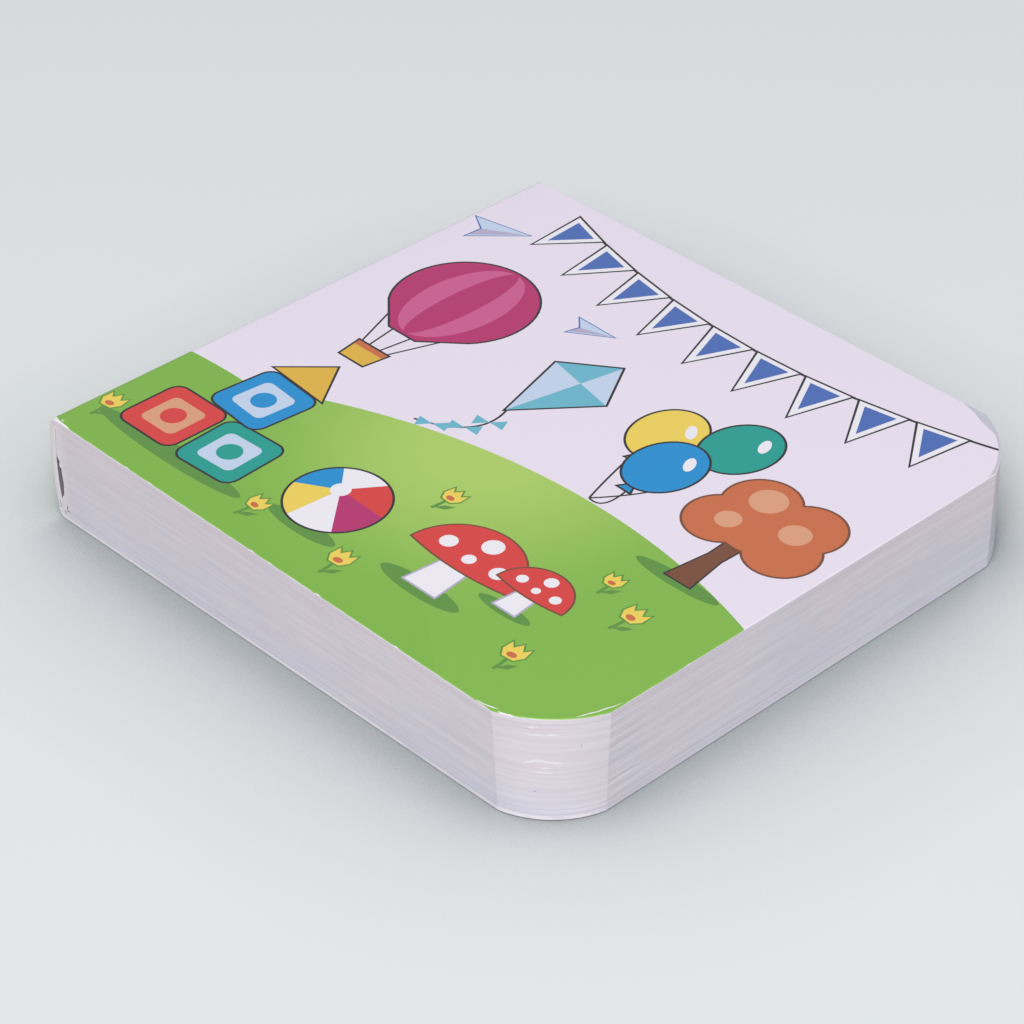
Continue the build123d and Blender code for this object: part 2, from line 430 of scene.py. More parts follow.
def on_wrap(x, y, lift):
    """World place of a point of the print, raised by `lift` off the card."""
    last = len(wrap_line) - 2
    index = next((i for i in range(last + 1) if x >= wrap_x[i + 1] - 1e-6), last)
    share = (wrap_x[index] - x) / (wrap_x[index] - wrap_x[index + 1])
    (x0, z0), (x1, z1) = wrap_line[index], wrap_line[index + 1]
    length = math.dist((x0, z0), (x1, z1))
    normal = ((z1 - z0) / length, -(x1 - x0) / length)
    px = x0 + (x1 - x0) * share + normal[0] * lift
    pz = z0 + (z1 - z0) * share + normal[1] * lift
    return px, tail_y + y, pz


def turned(points, x, y, turn=0.0):
    """Points about an origin, turned by some degrees and moved to x, y."""
    c, s = math.cos(math.radians(turn)), math.sin(math.radians(turn))
    return [(x + px * c - py * s, y + px * s + py * c) for px, py in points]


def disc(x, y, across, up=None, turn=0.0, steps=48):
    """A circle, or an ellipse with its two half sizes, turned by some degrees."""
    up = across if up is None else up
    outline = [(px * across, py * up) for px, py in arc((0, 0), 1.0, 0, 360, steps)[:-1]]
    return turned(outline, x, y, turn)


def twice_area(outline):
    """Twice the outline's area, negative where it runs clockwise."""
    return sum(a[0] * b[1] - b[0] * a[1] for a, b in zip(outline, outline[1:] + outline[:1]))


def anticlockwise(outline):
    """The outline, reversed if it runs clockwise."""
    return outline if twice_area(outline) > 0 else outline[::-1]


def neighbours(outline):
    """Each point of a closed outline, with the one before it and the one after it."""
    return zip(outline[-1:] + outline[:-1], outline, outline[1:] + outline[:1])


def grown(outline, by):
    """The outline moved outwards by a distance, corner by corner."""
    side = 1 if twice_area(outline) > 0 else -1
    result = []
    for before, here, after in neighbours(outline):
        n1 = Vector((here[1] - before[1], before[0] - here[0])).normalized() * side
        n2 = Vector((after[1] - here[1], here[0] - after[0])).normalized() * side
        mean = (n1 + n2).normalized()
        reach = by / max(mean.dot(n1), 0.5)
        result.append((here[0] + mean.x * reach, here[1] + mean.y * reach))
    return result


def tapered(line):
    """A thin stripe along a line of points, each with the stripe's width there."""
    left, right = [], []
    for index, (x, y, width) in enumerate(line):
        before, after = line[max(index - 1, 0)], line[min(index + 1, len(line) - 1)]
        way = (Vector(after[:2]) - Vector(before[:2])).normalized() * (width / 2)
        left.append((x - way.y, y + way.x))
        right.append((x + way.y, y - way.x))
    return left + right[::-1]


def band(line, width):
    """A thin stripe of even width along a line of points."""
    return tapered([(x, y, width) for x, y in line])


def curve(start, handle, end, steps=14):
    """A quadratic curve from start to end, pulled towards the handle."""
    points = []
    for i in range(steps + 1):
        t = i / steps
        first, middle, last = (1 - t) ** 2, 2 * t * (1 - t), t * t
        axes = zip(start, handle, end)
        points.append(tuple(first * a + middle * b + last * c for a, b, c in axes))
    return points


WORN_STEP = 0.6  # between the points of the print's worn edge


def worn_edge(outline):
    """The outline slightly ragged, as a handled film is: it drifts, with chips here and there."""
    result = []
    for here, after in zip(outline, outline[1:] + outline[:1]):
        count = max(1, round(math.dist(here, after) / WORN_STEP))
        along = (Vector(after) - Vector(here)) / count
        inwards = Vector((-along.y, along.x)).normalized()
        for step in range(count):
            point = Vector(here) + along * step
            drift = noise.noise(Vector((point.x / 1.7, point.y / 1.7, 3.0)))
            chip = max(0.0, noise.noise(Vector((point.x / 0.9, point.y / 0.9, 9.0))) - 0.35)
            point += inwards * (0.02 + 0.03 * drift + 0.4 * chip)
            result.append((point.x, point.y))
    return result


print_fields = []  # colours and outlines, in places from the fold and from the tail


def ink(colour, outline):
    """Lays a field of colour over those before it."""
    print_fields.append((colour, anticlockwise(outline)))


def outlined(colour, outline, line_colour="line", width=0.35):
    """A field with a printed line round it."""
    ink(line_colour, grown(outline, width))
    ink(colour, outline)


def pennant(x, y, turn):
    """A blue flag of the garland, with a white border and a dark line round it."""
    outlined("white", turned([(-3.7, 0.0), (0.0, -9.2), (3.7, 0.0)], x, y, turn))
    ink("blue", turned([(-2.5, -0.75), (0.0, -7.0), (2.5, -0.75)], x, y, turn))


def garland():
    """Blue flags that hang from a sagging string."""
    line = curve((13.0, 86.5), (52.0, 72.5), (93.5, 85.0), 28)
    ink("line", band(line, 0.45))
    for step in range(1, 28, 3):
        (x0, y0), (x1, y1) = line[step - 1], line[step + 1]
        pennant(*line[step], math.degrees(math.atan2(y1 - y0, x1 - x0)))


def air_balloon(x, y):
    """A hot-air balloon: striped bag, four ropes and a basket."""
    for side in (-1, 1):
        for top, foot in (((5.6, -8.6), (2.4, -17.2)), ((2.0, -10.4), (1.0, -17.2))):
            rope = [(side * top[0], top[1]), (side * foot[0], foot[1])]
            ink("line", band(turned(rope, x, y), 0.3))
    mouth = turned([(-2.6, -11.6), (2.6, -11.6)], x, y)
    outlined("magenta", arc((x, y), 10.5, -40, 220, 40) + mouth)
    ink("rose", disc(x, y - 0.5, 6.3, 10.6))
    ink("magenta", disc(x, y - 0.5, 2.6, 10.7))
    outlined("gold", turned([(-2.9, -17.0), (2.9, -17.0), (2.3, -21.0), (-2.3, -21.0)], x, y))
    ink("orange", turned([(-2.9, -17.0), (2.9, -17.0), (2.8, -18.0), (-2.8, -18.0)], x, y))


def kite(x, y):
    """A four-sided kite with a tail of three bows."""
    tail = curve((x - 2.0, y - 9.5), (x + 1.0, y - 17.0), (x - 9.0, y - 20.0))
    ink("line", band(tail, 0.35))
    for step in (4, 8, 12):
        for side in (-1, 1):
            wing = [(0.0, 0.0), (side * 2.2, 1.1), (side * 2.2, -1.1)]
            ink("cyan", turned(wing, *tail[step], 25))
    corners = [(0.0, 8.6), (6.2, 1.8), (0.0, -10.0), (-6.2, 1.8), (0.0, 1.8)]
    top, right, foot, left, middle = turned(corners, x, y, -12)
    outlined("cyan", [top, right, foot, left])
    ink("pale_blue", [top, right, middle])
    ink("pale_blue", [foot, left, middle])


def balloon(x, y, colour, knot_to, turn):
    """A balloon on a string that is knotted to the others' at `knot_to`."""
    ink("line", band(curve((x, y - 6.5), (x + 1.5, y - 13.0), knot_to), 0.3))
    outlined(colour, turned([(-1.0, -7.4), (0.0, -5.6), (1.0, -7.4)], x, y, turn))
    outlined(colour, disc(x, y, 5.0, 6.2, turn))
    ink("white", disc(x + 1.8, y + 2.6, 0.8, 1.6, turn + 28, 16))


def tree(x, y):
    """A tree in autumn colours, standing at x, y."""
    ink("grass", disc(x, y, 7.0, 1.3))
    trunk = [(-2.0, 0.0), (-1.1, 7.0), (-1.4, 13.0), (1.4, 13.0), (1.2, 6.5), (2.2, 0.0)]
    outlined("brown", turned(trunk, x, y), "line", 0.25)
    crown = [(-5.2, 13.5, 5.0), (5.2, 13.5, 5.0), (-3.8, 19.5, 5.2), (4.2, 19.5, 5.0)]
    crown += [(0.0, 16.5, 6.4)]
    lights = [(-3.5, 20.5, 2.6), (3.8, 17.5, 2.2), (-4.5, 14.0, 1.8)]
    for colour, discs, rim in (("brown", crown, 0.35), ("orange", crown, 0), ("peach", lights, 0)):
        for px, py, radius in discs:
            ink(colour, disc(x + px, y + py, radius + rim))


def block(x, y, size, turn, colour, light):
    """A toy block: square, with rounded corners and a lighter panel."""
    soft = size * 0.16
    middle = size / 2 - soft
    outline = []
    for cx, cy, start in ((1, 1, 0), (-1, 1, 90), (-1, -1, 180), (1, -1, 270)):
        outline += arc((cx * middle, cy * middle), soft, start, start + 90, 5)
    outlined(colour, turned(outline, x, y, turn))
    ink(light, turned([(px * 0.62, py * 0.62) for px, py in outline], x, y, turn))
    ink(colour, disc(x, y, size * 0.17))


def blocks(x, y):
    """Three stacked toy blocks with a gold roof block on top."""
    ink("grass", disc(x, y - 0.3, 14.5, 1.8))
    block(x - 6.1, y + 5.4, 10.6, 0, "red", "peach")
    block(x + 5.6, y + 5.4, 10.6, 3, "teal", "pale_blue")
    block(x - 0.6, y + 16.4, 10.6, -5, "azure", "pale_blue")
    outlined("gold", turned([(-5.4, 0.0), (5.4, 0.0), (0.0, 6.6)], x - 0.3, y + 22.2, -5))


def beach_ball(x, y, radius):
    """A ball of six coloured gores round a white button."""
    ink("grass", disc(x + 1.0, y - radius, radius * 0.9, 1.5))
    ink("line", disc(x, y, radius + 0.35))
    button = (x - radius * 0.2, y + radius * 0.25)
    for gore, colour in enumerate(("red", "white", "azure", "yellow", "white", "magenta")):
        start = gore * 60 + 12
        ink(colour, [button] + arc((x, y), radius, start, start + 60, 10))
    ink("white", disc(*button, radius * 0.2))


def mushroom(x, y, size):
    """A toadstool: pale stalk, red cap, white spots."""
    ink("grass", disc(x, y, size * 0.5, size * 0.12))
    stalk = [(-0.2, 0.0), (-0.14, 0.6), (0.14, 0.6), (0.2, 0.0)]
    outlined("white", [(x + px * size, y + py * size) for px, py in stalk], "lavender", 0.3)
    brim = y + size * 0.48
    cap = [(px, brim + (py - brim) * 0.95) for px, py in arc((x, brim), size * 0.62, 0, 180, 24)]
    cap += curve(cap[-1], (x, y + size * 0.36), cap[0], 8)[1:-1]
    outlined("red", cap, "brown", 0.3)
    spots = [(-0.33, 0.66, 0.09), (0.02, 0.88, 0.11), (0.34, 0.64, 0.09), (0.0, 0.6, 0.07)]
    for px, py, radius in spots:
        ink("white", disc(x + px * size, y + py * size, radius * size, steps=20))


def tulip(x, y, size, turn):
    """A small yellow tulip on a short stem."""
    ink("grass", turned(band(curve((0, 0), (0.2, 1.5), (0, 3.0), 5), 0.5), x, y, turn))
    ink("grass", turned([(0.1, 0.3), (1.5, 1.0), (2.1, 2.4), (0.8, 1.6)], x, y, turn))
    left = [(-1.5, 5.6), (-1.7, 3.9), (-0.9, 2.7)]
    right = [(0.9, 2.7), (1.7, 3.9), (1.5, 5.6), (0.75, 4.7), (0.0, 5.9), (-0.75, 4.7)]
    cup = [(px * size, py * size) for px, py in left + right]
    outlined("yellow", turned(cup, x, y, turn), "grass", 0.25)
    ink("orange", turned(disc(0, 3.5 * size, 0.75 * size, 0.5 * size, steps=14), x, y, turn))


def paper_plane(x, y, size, turn):
    """A folded paper plane, its far wing in shade."""
    wing = [(1.0, 0.0), (-0.8, 0.62), (-0.45, 0.0), (-0.8, -0.5)]
    shade = [(0.9, 0.0), (-0.45, 0.0), (-0.75, -0.42)]
    wing, shade = [[(px * size, py * size) for px, py in outline] for outline in (wing, shade)]
    outlined("pale_blue", turned(wing, x, y, turn), "blue", 0.25)
    ink("lavender", turned(shade, x, y, turn))


# Ground of the print: a pale sky over two hills, which run on round the spine and the back
ink("far_hill", arc((64.0, -60.0), 98.0, 0, 180, 150))
ink("hill", arc((10.0, -78.0), 102.0, 0, 180, 150))
ink("far_hill", arc((-76.0, -92.0), 118.0, 0, 180, 150))
garland()
air_balloon(17.5, 59.0)
kite(43.0, 54.5)
balloon(60.0, 56.0, "yellow", (63.0, 38.5), 6)
balloon(69.0, 60.5, "teal", (63.0, 38.5), -6)
balloon(65.0, 50.5, "azure", (63.0, 38.5), -2)
tree(83.0, 34.0)
paper_plane(6.6, 75.5, 5.0, 30)
paper_plane(35.0, 66.5, 3.6, 18)
blocks(17.5, 6.5)
beach_ball(41.0, 15.0, 7.0)
mushroom(62.0, 10.0, 14.0)
mushroom(72.5, 14.5, 9.0)
tulip(3.4, 4.2, 1.0, 5)
tulip(34.0, 3.5, 0.9, -8)
tulip(51.0, 3.0, 1.0, 4)
tulip(50.5, 22.5, 0.9, -4)
tulip(80.0, 5.5, 1.0, 6)
tulip(84.0, 21.0, 1.0, -6)
tulip(78.0, 25.0, 0.8, 4)

# Bare card at the spine's tail corner, a spot beside it, and a scuff
SPINE_PATCH = [(-1.6, -1.0), (-1.5, 0.35), (-0.7, 0.55), (0.1, 0.95), (0.6, 0.7), (1.2, 0.46)]
SPINE_PATCH += [(1.8, 0.3), (2.9, 0.2), (4.2, 0.1), (4.6, -1.0)]
ink("bare", SPINE_PATCH)
ink("bare", disc(2.15, 0.62, 0.2, 0.12, 25, 12))
ink("brown", [(0.15, 1.15), (0.65, 0.8), (0.9, 0.95), (0.45, 1.4)])

# Sliver outside the print at the head corner, painted grey as the shade on the slanted cut
HEAD_SLIVER = [(81.6, 90.5), (81.6, 89.9), (82.8, 89.6), (84.7, 89.0), (86.4, 88.2), (87.9, 87.7)]
HEAD_SLIVER += [(89.1, 87.3), (90.1, 86.9), (91.5, 87.0), (91.5, 90.5)]
ink("cut", HEAD_SLIVER)

# Cracks in the film beside the tail corner: from the fold, from the tail, and how wide
FILM_CRACKS = [
    [(82.9, 0.08, 0.02), (84, 0.16, 0.1), (84.7, 0.3, 0.19), (85.4, 0.5, 0.2), (86.1, 0.74, 0.03)],
    [(86.3, 0.42, 0.04), (87, 0.6, 0.2), (87.8, 0.97, 0.2), (88.5, 1.32, 0.14), (89.3, 1.8, 0.02)],
    [(93.4, 6.3, 0.02), (93.75, 7.1, 0.16), (94.12, 8.1, 0.19), (94.45, 8.8, 0.15)],
]
FILM_CRACKS[2] += [(94.72, 9.9, 0.19), (95.1, 10.9, 0.13), (95.35, 12.2, 0.02)]
for crack in FILM_CRACKS:
    ink("bare", tapered(crack))


def arc_reach(radius, crease):
    """How far from the sides the centre of a corner's arc lies, when it meets them at `crease`."""
    return radius * math.cos(math.radians(crease))


def inset_crease(radius, crease, inset):
    """Angle at which the arc meets the side, both drawn in by `inset`."""
    reach = arc_reach(radius, crease)
    return math.degrees(math.acos((reach - inset) / (radius - inset)))


def board_outline(roundings, inset=0.0, start=0.0, steps=16):
    """Outline of a board in print places: square at the spine, its fore-edge corners rounded."""
    width = book_width - inset
    outline = [(start, inset)]
    for (radius, crease), tail in zip(roundings, (True, False)):
        crease = inset_crease(radius, crease, inset)
        radius -= inset
        reach = arc_reach(radius, crease)
        rounded = arc((width - reach, inset + reach), radius, crease - 90, -crease, steps)
        outline += rounded if tail else [(x, book_height - y) for x, y in reversed(rounded)]
    outline.append((start, book_height - inset))
    return outline


def corners_at(level):
    """The fore-edge corners at a share of the book's height: both are cut at a slant."""
    pairs = zip(bottom_corners, top_corners)
    return [[low + (high - low) * level for low, high in zip(*pair)] for pair in pairs]


def cut_fields(outline, bends, edge_rings):
    """Cuts a flat sheet into the print's fields: its points, and triangles with their colours."""
    points, rings, cuts = [], [], []
    for ring in edge_rings:
        count = len(points)
        cuts += [(count + i, count + i + 1) for i in range(len(ring) - 1)]
        points += [Vector(p) for p in ring]
    for ring in [outline] + [ring for _, ring in print_fields]:
        rings.append(list(range(len(points), len(points) + len(ring))))
        points += [Vector(p) for p in ring]
    low, high = min(y for _, y in outline) - 1, max(y for _, y in outline) + 1
    for x in bends:
        cuts.append((len(points), len(points) + 1))
        points += [Vector((x, low)), Vector((x, high))]
    inside_only, merge_distance = 1, 1e-5
    found = delaunay_2d_cdt(points, cuts, rings, inside_only, merge_distance)
    places, _, triangles, _, _, triangle_rings = found
    faces = []
    for triangle, sources in zip(triangles, triangle_rings):
        if 0 in sources:
            top = max(sources)
            faces.append((triangle, print_fields[top - 1][0] if top else "sky"))
    return places, faces


def new_piece(name, points, material=None, faces=None, edges=()):
    """A mesh object from points in millimetres, selected and active: one face, if not told."""
    mesh = bpy.data.meshes.new(name)
    faces = [range(len(points))] if faces is None else faces
    mesh.from_pydata([Vector(p) * MM for p in points], edges, faces)
    piece = bpy.data.objects.new(name, mesh)
    bpy.context.collection.objects.link(piece)
    if material:
        mesh.materials.append(material)
    only(piece)
    return piece


def only(piece):
    """Makes a piece the only one selected, and active."""
    bpy.ops.object.select_all(action="DESELECT")
    piece.select_set(True)
    bpy.context.view_layer.objects.active = piece


def extrude(piece, steps, closed=True):
    """Extrudes a flat piece by each step in turn, and turns a closed body's faces outwards."""
    bpy.ops.object.mode_set(mode="EDIT")
    bpy.ops.mesh.select_all(action="SELECT")
    for step in steps:
        bpy.ops.mesh.extrude_region_move(TRANSFORM_OT_translate={"value": [s * MM for s in step]})
    if closed:
        bpy.ops.mesh.select_all(action="SELECT")
        bpy.ops.mesh.normals_make_consistent(inside=False)
    bpy.ops.object.mode_set(mode="OBJECT")


def prism(name, section, material, margin=0.0):
    """A body of one section along the spine, that ends a margin before the tail and the head."""
    piece = new_piece(name, [(x, tail_y + margin, z) for x, z in section], material)
    extrude(piece, [(0.0, book_height - 2 * margin, 0.0)])
    return piece


def thicken(piece, thickness, smooth_angle=25, offset=-1.0):
    """Gives a skin its thickness: inwards from its face, or to both sides at offset 0."""
    only(piece)
    bpy.ops.object.modifier_add(type="SOLIDIFY")
    solidify = piece.modifiers[-1]
    solidify.thickness = thickness * MM
    solidify.offset = offset
    bpy.ops.object.modifier_apply(modifier=solidify.name)
    bpy.ops.object.shade_smooth_by_angle(angle=math.radians(smooth_angle))


# Rows of points in which the print rolls over the board's eased edge, from its cut edge inwards
EASED_ROWS = (0.075, board_edge, 0.22)
EASED_START = -0.5  # the rows start this far before the fold


def edge_drop(place, outline):
    """How far the print sinks at a place, where it rolls over the board's eased edge."""
    nearest = board_edge
    for here, after in zip(outline, outline[1:]):
        way = Vector(after) - Vector(here)
        share = min(max((place - Vector(here)).dot(way) / way.dot(way), 0.0), 1.0)
        nearest = min(nearest, (Vector(here) + way * share - place).length)
    return board_edge - nearest


def printed_sheet(name, outline, bends, board_corners=None):
    """A thin printed skin on the card, cut into its fields of colour."""
    rim, edge_rings = [], []
    if board_corners:
        rim = board_outline(board_corners, start=EASED_START)
        edge_rings = [board_outline(board_corners, inset, EASED_START) for inset in EASED_ROWS]
    points, faces = cut_fields(outline, bends, edge_rings)
    drops = [edge_drop(point, rim) if rim else 0.0 for point in points]
    places = [on_wrap(point.x, point.y, film - drop) for point, drop in zip(points, drops)]
    sheet = new_piece(name, places, faces=[face for face, _ in faces])
    used = sorted({colour for _, colour in faces})
    for colour in used:
        sheet.data.materials.append(inks[colour])
    for polygon, (_, colour) in zip(sheet.data.polygons, faces):
        polygon.material_index = used.index(colour)
    bpy.ops.object.mode_set(mode="EDIT")
    bpy.ops.mesh.select_all(action="SELECT")
    bpy.ops.mesh.delete_loose()
    bpy.ops.object.mode_set(mode="OBJECT")
    thicken(sheet, film_skin, 50 if rim else 25)
    return sheet


def strip(start, end):
    """Outline of a stretch of the print, the full height of the book."""
    return [(start, 0.0), (end, 0.0), (end, book_height), (start, book_height)]


# The print, in one piece for each stretch of the card: front, spine and back
front_sheet = printed_sheet(
    "front_print",
    worn_edge(board_outline(print_corners, print_margin, wrap_x[front_end])),
    wrap_x[1:front_end],
    top_corners,
)
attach(front_sheet, "front_cover")

spine_sheet = printed_sheet(
    "spine_print",
    strip(wrap_x[spine_end], wrap_x[spine_start]),
    wrap_x[spine_start + 1 : spine_end],
)
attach(spine_sheet, "page_block")

back_end = wrap_x[-1] + book_width
back_board = board_outline(bottom_corners, board_edge)
back_outline = [(back_end - x if x else wrap_x[back_start], y) for x, y in back_board]
back_sheet = printed_sheet("back_print", back_outline[::-1], wrap_x[back_start + 1 : -1])
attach(back_sheet, "back_cover")


def hinge_strip(name, on_spine, on_cover):
    """A short strip of the print that spans a hinge, between the spine's print and a cover's."""
    sheet = printed_sheet(name, strip(*sorted((wrap_x[on_spine], wrap_x[on_cover]))), [])
    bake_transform(sheet)


hinge_strip("front_hinge_print", spine_start, front_end)
hinge_strip("back_hinge_print", spine_end, back_start)


def seam_level(seam):
    """Share of the book's height at which seam number `seam` lies at the fore-edge."""
    return (board + seam * fore_pitch) / fore_thickness


# Linings: the outermost sheets of the block, from the inside of each cover over the gutter
lining = 0.016  # thickness of a lining's skin
lining_depths = (0.002, 0.024)  # from the cover's face to the skins on the cover and on the block
skin_room = lining_depths[1] + lining + 0.004  # from the cover's face to the leaf's board
lining_margin = 0.1  # from a skin's edge to the leaf's
nose_x = fold_x + 0.05  # where a gutter's sheet turns back


def inside_front(x, depth):
    """Place under the front cover's inner face, at `depth` from it."""
    return x, front_hinge.z - (x - fold_x) * math.tan(front_tilt) - depth


def inside_back(x, depth):
    """Place above the back cover's inner face, at `depth` from it."""
    return x, board + depth


def lining_sheet(name, place, depth, body):
    """A page-sized printed skin on the inside of a cover or on the block."""
    level = seam_level(leaf_count if place is inside_front else 0)
    outline = board_outline(corners_at(level), lining_margin, leaf_start - fold_x, 20)
    points = [(fold_x + x, tail_y + y, place(fold_x + x, depth)[1]) for x, y in outline]
    sheet = new_piece(name, points, printed_page)
    thicken(sheet, lining)
    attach(sheet, body)


def gutter_sheet(name, place):
    """The sheet across a gutter: along the cover, round at the fold, and back over the block."""
    inner, outer = [depth + lining / 2 for depth in lining_depths]
    middle, radius = (inner + outer) / 2, (outer - inner) / 2
    profile = [(leaf_start, inner)]
    profile += [(nose_x + px, middle - pz) for px, pz in arc((0, 0), radius, 90, 270, 14)]
    profile += [(leaf_start, outer)]
    points = [(x, tail_y + lining_margin, place(x, depth)[1]) for x, depth in profile]
    edges = [(i, i + 1) for i in range(len(points) - 1)]
    sheet = new_piece(name, points, printed_page, [], edges)
    extrude(sheet, [(0.0, book_height - 2 * lining_margin, 0.0)], closed=False)
    thicken(sheet, lining, 40, 0.0)
    ends = []
    for depth in (lining_depths[1] - 0.002, lining_depths[0] + lining + 0.002):
        x, z = place(fold_x, depth)
        ends.append(Vector((x, 0.0, z)) * MM)
    if place is inside_front:
        ends[1].x += (ends[1].z - ends[0].z) * math.tan(front_tilt)
    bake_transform(sheet)


printed_page = laminated_print("print_page", "#E9E4EE")
for side, place in (("front", inside_front), ("back", inside_back)):
    lining_sheet(f"{side}_cover_lining", place, lining_depths[0], f"{side}_cover")
    lining_sheet(f"{side}_page_lining", place, lining_depths[1], "page_block")
    gutter_sheet(f"{side}_gutter", place)


# Page block: nine leaves, each with its own uneven rim, and the folded backs glued at the spine
def seam_height(x, seam):
    """Height at x of seam number `seam`: seam 0 lies on the back cover."""
    pitch = spine_pitch + (fore_pitch - spine_pitch) * (x - fold_x) / book_width
    return board + seam * pitch


rim_rows = (0.0, 0.05, 0.2, 0.35, 0.5, 0.65, 0.8, 0.95, 1.0)  # a rim's rows, as a share of the leaf
side_columns = 112  # stretches along each of the three cut sides
corner_columns = 20  # stretches round each corner
creases = [side_columns, side_columns + corner_columns]  # columns at which the corners' arcs end
creases += [crease + side_columns + corner_columns for crease in creases]


def rim_outline(level):
    """The leaves' outline at a share of the book's height, in as many columns at each level."""
    bends = board_outline(corners_at(level), start=leaf_start - fold_x, steps=corner_columns)
    outline = []
    for here, after in zip(bends, bends[1:]):
        count = side_columns if math.dist(here, after) > 40 else 1
        for i in range(count):
            outline.append(tuple(a + (b - a) * i / count for a, b in zip(here, after)))
    return outline + [bends[-1]]


def leaf_blank(outline):
    """A leaf as a blank 1 mm thick: its outline, extruded row by row."""
    blank = new_piece("leaf_blank", [(x, y, 0.0) for x, y in outline], cut_board)
    extrude(blank, [(0.0, 0.0, high - low) for low, high in zip(rim_rows, rim_rows[1:])])
    places = [outline[column] for column in creases]
    for edge in blank.data.edges:
        low, high = [blank.data.vertices[index].co / MM for index in edge.vertices]
        upright = (low.xy - high.xy).length < 0.01
        edge.use_edge_sharp = upright and min(math.dist(low.xy, place) for place in places) < 0.01
    return blank


def outline_facts(outline):
    """For each point of an outline: its distance along it, and the direction outwards."""
    facts = []
    along = 0.0
    for before, here, after in neighbours(outline):
        way = (Vector(after) - Vector(before)).normalized()
        facts.append((along, way.y, -way.x))
        along += math.dist(here, after)
    return facts


def outline_finder(outline):
    """A search tree that finds the outline's point under a vertex of the extruded blank."""
    finder = KDTree(len(outline))
    for index, (x, y) in enumerate(outline):
        finder.insert((x, y, 0.0), index)
    finder.balance()
    return finder


# Distances along a rim, from the spine, at which the tail corner starts and ends
tail_radius, tail_crease = corners_at(0.5)[0]
corner_depth = tail_radius * math.sqrt(2) * math.sin(math.radians(45 - tail_crease))
tail_side = book_width - (leaf_start - fold_x) - corner_depth
fore_crease = tail_side + math.radians(90 - 2 * tail_crease) * tail_radius


def looseness(along):
    """How uneven the rims are: most on the fore-edge beside its crease, least on the corner."""
    if along > fore_crease:
        return 0.006 + 0.06 * math.exp(-(along - fore_crease) / 9.0)
    if along > tail_side:
        return 0.004 + 0.03 * math.exp(-(fore_crease - along) / 0.8)
    return 0.006 + 0.018 * math.exp(-(tail_side - along) / 4.0)


def rim_offset(leaf, share, along):
    """How far a point of a leaf's rim stands out, at a share of its thickness."""
    ridge = noise.noise(Vector((along / 5.0, (leaf + share) * 2.3, 0.5)))
    drift = noise.noise(Vector((along / 17.0, leaf * 5.3, 4.0)))
    parting = noise.noise(Vector((along / 9.0, leaf * 3.1, 8.0)))
    seam = (2 * share - 1) ** 8 * max(0.0, 0.4 + parting)
    return looseness(along) * (0.9 * ridge + 0.4 * drift - 0.8 * seam) - 0.01


def place_leaf(blank, finder, facts, leaf):
    """A copy of the blank at its place in the block, with its own rim."""
    only(blank)
    bpy.ops.object.duplicate()
    piece = bpy.context.object
    low_gap = skin_room if leaf == 0 else leaf_gap / 2
    high_gap = skin_room if leaf == leaf_count - 1 else leaf_gap / 2
    for vertex in piece.data.vertices:
        x, y, share = vertex.co / MM
        index = finder.find((x, y, 0.0))[1]
        level = seam_level(leaf + share)
        x, y = [low + (high - low) * level for low, high in zip(bottom_rim[index], top_rim[index])]
        along, out_x, out_y = facts[index]
        if x > leaf_start - fold_x + 0.01:  # the end at the spine stays straight
            offset = rim_offset(leaf, share, along)
            x, y = x + out_x * offset, y + out_y * offset
        x += fold_x
        low, high = seam_height(x, leaf) + low_gap, seam_height(x, leaf + 1) - high_gap
        vertex.co = Vector((x, y + tail_y, low + (high - low) * share)) * MM
    return piece


# Ragged inner edge of the slit behind the spine card: from the fold line, and height
SLIT = [(0.82, 10.05), (1.0, 9.8), (1.27, 9.42), (1.1, 9.05), (1.13, 8.62), (1.5, 8.42)]
SLIT += [(1.45, 7.95), (1.53, 7.5), (1.56, 6.85), (1.66, 6.15), (1.6, 5.3), (1.53, 4.65)]
SLIT += [(1.5, 4.15), (1.16, 3.76)]

# Cracks in the glue and the card at the spine's tail end, drawn dark as painted shade in them: from
# the fold line, height, and width
HOOK = ((2.06, 2.8, 0.05), (2.02, 2.4, 0.16), (1.88, 2.1, 0.2))
HOOK += ((1.86, 1.88, 0.24), (2.08, 1.72, 0.18), (2.42, 1.7, 0.16))
SCUFF = ((0.3, 2.9, 0.04), (0.42, 2.4, 0.15), (0.56, 2.0, 0.15), (0.72, 1.74, 0.05))

# Crumbs of torn white card, two at the top of the slit and one below the hooked crack
CRUMBS = (
    ((0.98, 10.12), (1.4, 10.44), (1.52, 10.05), (1.43, 9.5), (1.24, 9.62), (1.08, 9.95)),
    ((1.52, 9.3), (1.76, 9.42), (1.7, 8.8), (1.54, 8.5), (1.3, 8.52), (1.34, 8.95)),
    ((1.0, 1.56), (1.84, 1.57), (1.8, 1.74), (1.4, 1.82), (1.04, 1.8)),
)

# Painted highlights: white dashes where the leaves' edges on the tail corner catch the light: share
# of the way round, height, and width
CORNER_HIGHLIGHTS = (
    ((0.31, 12.45, 0.1), (0.37, 12.52, 0.25), (0.44, 12.5, 0.1)),
    ((0.45, 12.5, 0.1), (0.5, 12.6, 0.35), (0.56, 12.55, 0.08)),
    ((0.255, 8.2, 0.08), (0.3, 8.5, 0.3), (0.375, 8.8, 0.3), (0.42, 8.75, 0.34))
    + ((0.47, 8.6, 0.3), (0.53, 8.5, 0.36), (0.6, 8.4, 0.06)),
    ((0.4, 7.75, 0.08), (0.45, 7.75, 0.22), (0.5, 7.75, 0.06)),
    ((0.36, 7.1, 0.08), (0.4, 7.1, 0.28), (0.46, 7.05, 0.22), (0.52, 7.0, 0.08)),
)
# Painted highlight of the same kind, on the front cover's cut
COVER_HIGHLIGHT = ((0.3, 13.5, 0.1), (0.345, 13.55, 0.34), (0.39, 13.6, 0.08))
